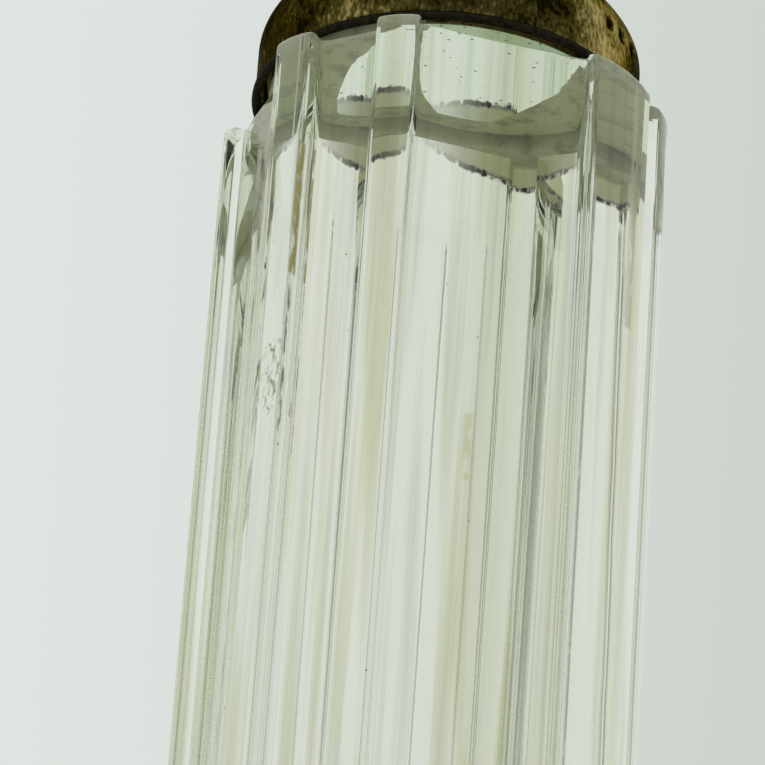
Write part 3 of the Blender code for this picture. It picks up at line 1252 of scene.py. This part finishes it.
    def _neck(self) -> BMesh:
        """The collar, the neck and the well, as one turned form that reaches into the column."""
        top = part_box("glass_body")[1].z / MM
        floor = self.length + self.well_floor
        lip = top - self.lip_round
        collar = self.rib_radius - self.panel_recess - self.collar_inset
        profile = [
            (0.0, self.length - self.neck_sink),
            (collar, self.length - self.neck_sink),
            (collar, self.length + self.collar_height),
            (self.neck_radius, self.length + self.collar_height),
            *arc((self.neck_radius - self.lip_round, lip), self.lip_round, 0.0, 90.0, self.edge_steps),
            *arc((self.well_radius + self.lip_round, lip), self.lip_round, 90.0, 180.0, self.edge_steps),
            (self.well_radius, floor + self.undercut_height),
            (self.well_radius + self.undercut_depth, floor + self.undercut_height),
            (self.well_radius + self.undercut_depth, floor),
            (0.0, floor),
        ]
        return spun([(radius * MM, height * MM) for radius, height in profile], self.turn_steps)

    def _pontil(self) -> BMesh:
        """The shallow hollow ground into the base."""
        rise = (self.pontil_radius**2 - self.pontil_depth**2) / (2.0 * self.pontil_depth)
        sphere = rise + self.pontil_depth
        reach = math.asin(self.pontil_radius / sphere)
        profile = [(0.0, -self.pontil_depth), (self.pontil_radius, -self.pontil_depth)]
        for step in range(self.edge_steps):
            angle = reach * (1.0 - step / self.edge_steps)
            profile.append((sphere * math.sin(angle), sphere * math.cos(angle) - rise))
        profile.append((0.0, self.pontil_depth))
        return spun([(radius * MM, height * MM) for radius, height in profile], self.turn_steps)

    def _flake(self, chip: Chip) -> BMesh:
        """The ball that leaves a chip's hollow in a rib."""
        bm = bmesh.new()
        bmesh.ops.create_icosphere(bm, subdivisions=4, radius=chip.radius * MM)
        reach = self.rib_radius + self.rib_crown + chip.radius - chip.depth
        middle = polar(reach * MM, math.radians(chip.bearing))
        bmesh.ops.translate(bm, vec=(middle.x, middle.y, chip.level * MM), verts=bm.verts[:])
        return bm

    def _glass(self, materials: Sequence[bpy.types.Material]) -> None:
        """Join the column, the neck, the pontil and the chips into one piece of glass and dress it."""
        forms = []
        shapes = [("column", self._column()), ("neck", self._neck()), ("pontil", self._pontil())]
        shapes += [("chip", self._flake(chip)) for chip in self.chips]
        for name, bm in shapes:
            mesh = bpy.data.meshes.new(f"{name}_form")
            bm.to_mesh(mesh)
            bm.free()
            form = bpy.data.objects.new(f"{name}_form", mesh)
            bpy.context.scene.collection.objects.link(form)
            forms.append(form)
        for place, tool in enumerate(forms[1:]):
            step = forms[0].modifiers.new(tool.name, "BOOLEAN")
            step.operation = "UNION" if place == 0 else "DIFFERENCE"
            step.solver = "MANIFOLD"
            step.object = tool
        joined = forms[0].evaluated_get(bpy.context.evaluated_depsgraph_get())
        bm = bmesh.new()
        bm.from_mesh(joined.to_mesh())
        joined.to_mesh_clear()
        for form in forms:
            bpy.data.objects.remove(form)
        for face in bm.faces:
            face.material_index = self._zone(face).value
        add_piece("glass_body", bm, materials, Body.VIAL, 28.0)

    def _zone(self, face: BMFace) -> Zone:
        """Tell the top of the glass, which the cap sits on, from its open sides."""
        level = face.calc_center_median().z / MM
        if level > self.length + 0.5 * self.rib_edge:
            return Zone.SEATED
        if level > self.length - self.rib_top_round and face.normal.z > 0.5:
            return Zone.SEATED
        return Zone.OPEN

    def _cement(self) -> BMesh:
        """The cement between the neck and the ferrule, squeezed up a little at its top."""
        span = Span.of("neck_cement")
        inner = (self.neck_radius + self.bond_gap) * MM
        crest = 0.08 * MM
        middle = 0.5 * (inner + span.radius)
        profile = [
            *run((span.radius, span.high), (span.radius, span.low), 8),
            (span.radius, span.low),
            *run((inner, span.low), (inner, span.high), 8),
            (inner, span.high),
            (middle, span.high + crest),
        ]
        bm = spun(profile, self.turn_steps)
        for vert in bm.verts:
            if vert.co.z > span.high:
                vert.co.z += crest * noise.noise(vert.co / (1.2 * MM))
        return bm

    def _ferrule(self) -> BMesh:
        """The flanged ferrule with its two-start rolled thread."""
        span = Span.of("neck_ferrule")
        wall = span.radius - self.flange_overhang * MM
        inner = wall - self.ferrule_wall * MM
        flange = span.low + self.flange_thickness * MM
        edge = 0.08 * MM
        profile = [
            *run((wall, span.high - edge), (wall, flange), 64),
            (wall, flange),
            *arc((span.radius - edge, flange - edge), edge, 90.0, 0.0, 4),
            *arc((span.radius - edge, span.low + edge), edge, 0.0, -90.0, 4),
            (inner, span.low),
            (inner, span.high - edge),
            *arc((0.5 * (wall + inner), span.high - edge), 0.5 * (wall - inner), 180.0, 90.0, 4),
        ]
        bm = spun(profile, self.turn_steps)
        self.thread.cut(bm, wall, flange, span.high - edge, outward=True)
        return bm


@dataclass
class CorkSeal:
    """The loose cork wad and the plate that presses it. Sizes are in millimetres."""

    edge: float = 0.16
    print_depth: float = 0.07
    print_inner: float = 8.2
    print_outer: float = 9.2
    dish: float = 0.04
    turn_steps: int = 160

    def build(self) -> None:
        """Build and dress the wad and the plate."""
        cork = GrainedSolid("cut_cork", "#C09A66", "#8F6A3E", (0.7, 0.7, 0.5), 1.5, "#4A3018", 0.24, 0.9)
        add_piece("seal_wad", self._wad(), [cork.material()], Body.SEAL)
        brass = TurnedBrass("spun_plate_brass")
        add_piece("wad_plate", self._plate(), [brass.material()], Body.SEAL)

    def _wad(self) -> BMesh:
        """The wad, printed underneath by the ground lip."""
        span = Span.of("seal_wad")
        edge = self.edge * MM
        rings = 24
        profile = [
            *run((0.0, span.low), (span.radius - edge, span.low), rings),
            *arc((span.radius - edge, span.low + edge), edge, -90.0, 0.0, 4),
            *arc((span.radius - edge, span.high - edge), edge, 0.0, 90.0, 4),
            *run((span.radius - edge, span.high), (0.0, span.high), rings)[1:],
            (0.0, span.high),
        ]
        bm = spun(profile, self.turn_steps)
        for vert in bm.verts:
            radius = math.hypot(vert.co.x, vert.co.y) / MM
            if vert.co.z < span.low + 0.5 * edge:
                lip = eased(radius, self.print_inner - 0.3, self.print_inner)
                lip *= 1.0 - eased(radius, self.print_outer - 0.3, self.print_outer)
                vert.co.z += self.print_depth * lip * MM
        return bm

    def _plate(self) -> BMesh:
        """The thin plate, very slightly dished by use."""
        span = Span.of("wad_plate")
        edge = 0.4 * (span.high - span.low)
        rings = 16
        profile = [
            *run((0.0, span.low), (span.radius - edge, span.low), rings),
            *arc((span.radius - edge, span.low + edge), edge, -90.0, 0.0, 4),
            *arc((span.radius - edge, span.high - edge), edge, 0.0, 90.0, 4),
            *run((span.radius - edge, span.high), (0.0, span.high), rings)[1:],
            (0.0, span.high),
        ]
        bm = spun(profile, self.turn_steps)
        for vert in bm.verts:
            radius = math.hypot(vert.co.x, vert.co.y)
            if vert.co.z > 0.5 * (span.low + span.high):
                vert.co.z -= self.dish * MM * (1.0 - (radius / span.radius) ** 2)
        return bm


@dataclass(frozen=True)
class Dent:
    """A shallow oval struck into the cap: its bearing in degrees and its level and sizes in mm."""

    bearing: float
    level: float
    half_width: float
    half_height: float
    depth: float


@dataclass
class GiltCap:
    """The domed screw cap with its rim, threaded ring and wooden filling. Sizes are in millimetres."""

    wall: float = 0.5
    skirt: float = 2.7
    edge: float = 0.1
    core_clearance: float = 0.12
    core_radius: float = 7.45
    ring_wall: float = 0.35
    wire: float = 0.25
    uneven: float = 0.03
    uneven_size: float = 4.0
    thread: Thread = Thread(0.01, 0.18)
    dents: tuple[Dent, ...] = (
        Dent(-51.7, 65.8, 0.4, 0.5, 0.1),
        Dent(-44.4, 65.75, 0.42, 0.5, 0.11),
        Dent(-35.5, 65.7, 0.42, 0.52, 0.11),
    )
    turn_steps: int = 300
    dome_steps: int = 48
    skirt_steps: int = 20

    def build(self) -> None:
        """Build and dress the dome, the rim, the threaded ring and the filling."""
        gilt = WornGilt()
        add_piece("cap_dome", self._dome(), [gilt.material()], Body.CAP)
        # The rim wire is coloured near-black as painted shade, for the shade under the cap's lower edge.
        dark = GrainedSolid(
            "near_black_wire_painted_shade", "#2A2414", "#0E0C07", (0.3, 0.3, 0.3), 0.5, "#050403", 0.3, 0.8, 0.1
        )
        add_piece("cap_rim_bead", self._rim(), [dark.material()], Body.CAP)
        brass = TurnedBrass("tapped_ring_brass")
        add_piece("cap_thread_ring", self._ring(), [brass.material()], Body.CAP)
        wood = GrainedSolid(
            "turned_boxwood", "#C9A868", "#A88448", (0.35, 0.35, 3.0), 0.5, "#8A6A38", 0.12, 0.6
        )
        add_piece("cap_core", self._core(), [wood.material()], Body.CAP)

    def _dome_line(self, radius: float, height: float, base: float) -> Profile:
        """Points of a dome from its widest ring up to the axis."""
        points = []
        for step in range(self.dome_steps):
            angle = 0.5 * math.pi * step / self.dome_steps
            points.append((radius * math.cos(angle), base + height * math.sin(angle)))
        points.append((0.0, base + height))
        return points

    def _dome(self) -> BMesh:
        """The raised dome and its skirt, a little uneven, with blank ovals struck on one side."""
        span = Span.of("cap_dome")
        base = span.low + self.skirt * MM
        inner = span.radius - self.wall * MM
        edge = self.edge * MM
        outside = self._dome_line(span.radius, span.high - base, base)
        inside = self._dome_line(inner, span.high - base - self.wall * MM, base)
        profile = [
            *reversed(outside),
            *run((span.radius, base), (span.radius, span.low + edge), self.skirt_steps)[1:],
            *arc((span.radius - edge, span.low + edge), edge, 0.0, -90.0, 4),
            *arc((inner + edge, span.low + edge), edge, -90.0, -180.0, 4),
            *inside,
        ]
        bm = spun(profile, self.turn_steps)
        dent = bm.verts.layers.float.new("dent")
        for vert in bm.verts:
            self._strike(vert, dent, base, inner)
        return bm

    def _strike(
        self, vert: BMVert, dent: "bmesh.types.BMLayerItem", base: float, inner: float
    ) -> None:
        """Push one point of the outer wall in where it is dented or uneven."""
        radius = math.hypot(vert.co.x, vert.co.y)
        if vert.co.z < base and radius < inner + 1.5 * self.edge * MM:
            return
        if vert.normal.dot(Vector((vert.co.x, vert.co.y, max(0.0, vert.co.z - base)))) < 0.0:
            return
        bearing = math.degrees(math.atan2(vert.co.y, vert.co.x))
        level = vert.co.z / MM
        depth = self.uneven * noise.noise(vert.co / (self.uneven_size * MM))
        for item in self.dents:
            across = math.radians(bearing - item.bearing) * radius / MM / item.half_width
            up = (level - item.level) / item.half_height
            reach = math.hypot(across, up)
            struck = 1.0 - eased(reach, 0.7, 1.0)
            raised = eased(reach, 0.8, 1.05) * (1.0 - eased(reach, 1.05, 1.45))
            depth += item.depth * (struck - 0.25 * raised)
            vert[dent] = max(vert[dent], struck)
        vert.co -= vert.normal * depth * MM

    def _rim(self) -> BMesh:
        """The wire soldered along the cap's lower edge."""
        span = Span.of("cap_rim_bead")
        wire = self.wire * MM
        centre = (span.radius - wire, 0.5 * (span.low + span.high))
        bm = spun(arc(centre, wire, 0.0, 360.0, 16)[:-1], self.turn_steps)
        for vert in bm.verts:
            vert.co += vert.normal * (0.4 * self.uneven * MM * noise.noise(vert.co / (1.5 * MM)))
        return bm

    def _ring(self) -> BMesh:
        """The ring inside the skirt with its inner thread."""
        span = Span.of("cap_thread_ring")
        inner = span.radius - self.ring_wall * MM
        edge = 0.06 * MM
        profile = [
            (span.radius, span.high),
            (span.radius, span.low),
            (inner + edge, span.low),
            *run((inner, span.low + edge), (inner, span.high - edge), 48),
            (inner, span.high - edge),
            (inner + edge, span.high),
        ]
        bm = spun(profile, self.turn_steps // 2)
        self.thread.cut(bm, inner, span.low + edge, span.high - edge, outward=False)
        return bm

    def _core(self) -> BMesh:
        """The turned filling under the crown."""
        dome = Span.of("cap_dome")
        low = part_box("cap_core")[0].z
        base = dome.low + self.skirt * MM
        radius = dome.radius - (self.wall + self.core_clearance) * MM
        height = dome.high - base - (self.wall + self.core_clearance) * MM
        start = math.acos(self.core_radius * MM / radius)
        profile = run((0.0, low), (self.core_radius * MM, low), 16)
        for step in range(self.dome_steps):
            angle = start + (0.5 * math.pi - start) * step / self.dome_steps
            profile.append((radius * math.cos(angle), base + height * math.sin(angle)))
        profile.append((0.0, base + height))
        return spun(profile, self.turn_steps // 2)


@dataclass
class Studio:
    """Pale floor, soft light and the photograph's viewpoint."""

    azimuth: float = -16.0
    elevation: float = -29.8
    lean: float = 3.96
    focal_pixels: float = 5870.0
    frame_pixels: float = 765.0
    pixel_mm: float = 0.0572
    shoulder_mm: float = 62.0
    shoulder_pixel: tuple[float, float] = (445.0, 127.0)
    sensor_mm: float = 36.0
    floor_size: float = 4.0
    floor_colour: str = "#DDE3DC"
    floor_glow: float = 0.75
    back_left: str = "#DFE4E0"
    back_right: str = "#CBD3CC"
    light_level: float = 0.83
    light_bounces: int = 24
    dark_level: float = 0.35
    dark_elevation: float = 22.0
    dark_azimuth: float = -20.0

    def build(self) -> None:
        """Set the stage, the light and the camera."""
        scene = bpy.context.scene
        scene.view_settings.view_transform = "Standard"
        scene.cycles.max_bounces = self.light_bounces
        scene.cycles.glossy_bounces = self.light_bounces
        scene.cycles.transmission_bounces = self.light_bounces
        self._floor()
        self._world()
        self._lamp("key_light", (0.35, 0.25, 0.45), 0.4, 0.4, False)
        self._lamp("fill_light", (-0.35, -0.35, 0.4), 0.4, 0.2, True)
        self._camera()

    @staticmethod
    def direction(azimuth: float, elevation: float) -> Vector:
        """The unit vector towards a viewpoint, both angles in degrees."""
        turn, rise = math.radians(azimuth), math.radians(elevation)
        return Vector(
            (math.sin(turn) * math.cos(rise), -math.cos(turn) * math.cos(rise), math.sin(rise))
        )

    def _floor(self) -> None:
        """A pale floor that is solid from above and unseen from below."""
        bm = bmesh.new()
        bmesh.ops.create_grid(bm, x_segments=1, y_segments=1, size=0.5 * self.floor_size)
        mesh = bpy.data.meshes.new("floor")
        bm.to_mesh(mesh)
        bm.free()
        floor = bpy.data.objects.new("floor", mesh)
        bpy.context.scene.collection.objects.link(floor)
        made, tree, output = blank_material("pale_floor")
        below = add_node(tree, "ShaderNodeNewGeometry", {}).outputs["Backfacing"]
        paint = add_node(tree, "ShaderNodeBsdfDiffuse", {"Color": linear(self.floor_colour)})
        glow = add_node(tree, "ShaderNodeEmission", {"Color": linear(self.floor_colour), "Strength": 1.0})
        share = add_node(
            tree,
            "ShaderNodeMath",
            {0: self._pictured(tree), 1: self.floor_glow},
            operation="MULTIPLY",
        )
        seen = add_node(
            tree,
            "ShaderNodeMixShader",
            {0: share.outputs["Value"], 1: paint.outputs["BSDF"], 2: glow.outputs["Emission"]},
        )
        unseen = add_node(tree, "ShaderNodeBsdfTransparent", {})
        mixed = add_node(
            tree,
            "ShaderNodeMixShader",
            {0: below, 1: seen.outputs["Shader"], 2: unseen.outputs["BSDF"]},
        )
        tree.links.new(mixed.outputs["Shader"], output.inputs["Surface"])
        mesh.materials.append(made)

    @staticmethod
    def _pictured(tree: bpy.types.NodeTree) -> bpy.types.NodeSocket:
        """1 where a ray makes a picture: seen directly, in a reflection or through glass."""
        path = add_node(tree, "ShaderNodeLightPath", {})
        shown = add_node(
            tree,
            "ShaderNodeMath",
            {0: path.outputs["Is Camera Ray"], 1: path.outputs["Is Glossy Ray"]},
            operation="MAXIMUM",
        ).outputs["Value"]
        return add_node(
            tree,
            "ShaderNodeMath",
            {0: shown, 1: path.outputs["Is Transmission Ray"]},
            operation="MAXIMUM",
        ).outputs["Value"]

    def _world(self) -> None:
        """Pale all round, with the unlit room on the side that the camera stands on."""
        world = bpy.data.worlds.new("studio")
        bpy.context.scene.world = world
        world.use_nodes = True
        tree = world.node_tree
        tree.nodes.clear()
        output = add_node(tree, "ShaderNodeOutputWorld", {})
        towards = add_node(tree, "ShaderNodeTexCoord", {}).outputs["Generated"]
        right = self.direction(self.azimuth + 90.0, 0.0)
        across = add_node(
            tree, "ShaderNodeVectorMath", {0: towards, 1: right}, operation="DOT_PRODUCT"
        ).outputs["Value"]
        reach = 0.5 * self.frame_pixels / self.focal_pixels
        share = add_node(
            tree, "ShaderNodeMapRange", {"Value": across, "From Min": -reach, "From Max": reach}
        ).outputs["Result"]
        seen = add_node(
            tree,
            "ShaderNodeMix",
            {MIX_FACTOR: share, MIX_A: linear(self.back_left), MIX_B: linear(self.back_right)},
            data_type="RGBA",
        ).outputs[MIX_RESULT]
        dark = self.direction(self.dark_azimuth, self.dark_elevation)
        facing = add_node(
            tree, "ShaderNodeVectorMath", {0: towards, 1: dark}, operation="DOT_PRODUCT"
        ).outputs["Value"]
        level = add_node(
            tree,
            "ShaderNodeMapRange",
            {
                "Value": facing,
                "From Min": 0.7,
                "From Max": 0.96,
                "To Min": self.light_level,
                "To Max": self.dark_level,
            },
            interpolation_type="SMOOTHSTEP",
        ).outputs["Result"]
        light = add_node(
            tree, "ShaderNodeBackground", {"Color": linear("#F6F8F4"), "Strength": level}
        )
        backdrop = add_node(tree, "ShaderNodeBackground", {"Color": seen, "Strength": 1.0})
        camera_ray = add_node(tree, "ShaderNodeLightPath", {}).outputs["Is Camera Ray"]
        mixed = add_node(
            tree,
            "ShaderNodeMixShader",
            {0: camera_ray, 1: light.outputs["Background"], 2: backdrop.outputs["Background"]},
        )
        tree.links.new(mixed.outputs["Shader"], output.inputs["Surface"])

    def _lamp(
        self, name: str, place: tuple[float, float, float], size: float, power: float, mirrored: bool
    ) -> None:
        """Add a soft lamp that shines on the middle of the vial.

        Args:
            name: Name of the lamp.
            place: Where it stands, in metres.
            size: Its width, in metres.
            power: Its power, in watts.
            mirrored: Whether polished surfaces show it.
        """
        light = bpy.data.lights.new(name, "AREA")
        light.size = size
        light.energy = power
        lamp = bpy.data.objects.new(name, light)
        middle = Vector((0.0, 0.0, 0.5 * self.shoulder_mm * MM))
        lamp.location = place
        lamp.rotation_euler = (middle - lamp.location).to_track_quat("-Z", "Y").to_euler()
        lamp.visible_camera = False
        lamp.visible_transmission = False
        lamp.visible_glossy = mirrored
        bpy.context.scene.collection.objects.link(lamp)

    def _camera(self) -> None:
        """Place the camera so that the middle of the shoulder lands on its pixel."""
        data = bpy.data.cameras.new("photo_camera")
        camera = bpy.data.objects.new("photo_camera", data)
        bpy.context.scene.collection.objects.link(camera)
        bpy.context.scene.camera = camera
        data.sensor_width = self.sensor_mm
        data.lens = self.focal_pixels / self.frame_pixels * self.sensor_mm
        data.clip_start = 0.01
        back = self.direction(self.azimuth, self.elevation)
        shoulder = Vector((0.0, 0.0, self.shoulder_mm * MM))
        camera.location = shoulder + back * (self.focal_pixels * self.pixel_mm * MM)
        level = (-back).to_track_quat("-Z", "Y")
        leaning = level @ Quaternion((0.0, 0.0, 1.0), math.radians(self.lean))
        middle = 0.5 * self.frame_pixels
        ray = Vector(
            (
                (self.shoulder_pixel[0] - middle) / self.focal_pixels,
                (middle - self.shoulder_pixel[1]) / self.focal_pixels,
                -1.0,
            )
        )
        camera.rotation_mode = "QUATERNION"
        camera.rotation_quaternion = leaning @ ray.rotation_difference(Vector((0.0, 0.0, -1.0)))


def main() -> None:
    """Build every piece and the studio."""
    logging.basicConfig(level=logging.INFO, format="%(name)s: %(message)s")
    for assembly in (GlassVial(), CorkSeal(), GiltCap(), Studio()):
        LOG.info("building %s", type(assembly).__name__)
        assembly.build()


if __name__ == "__main__":
    main()
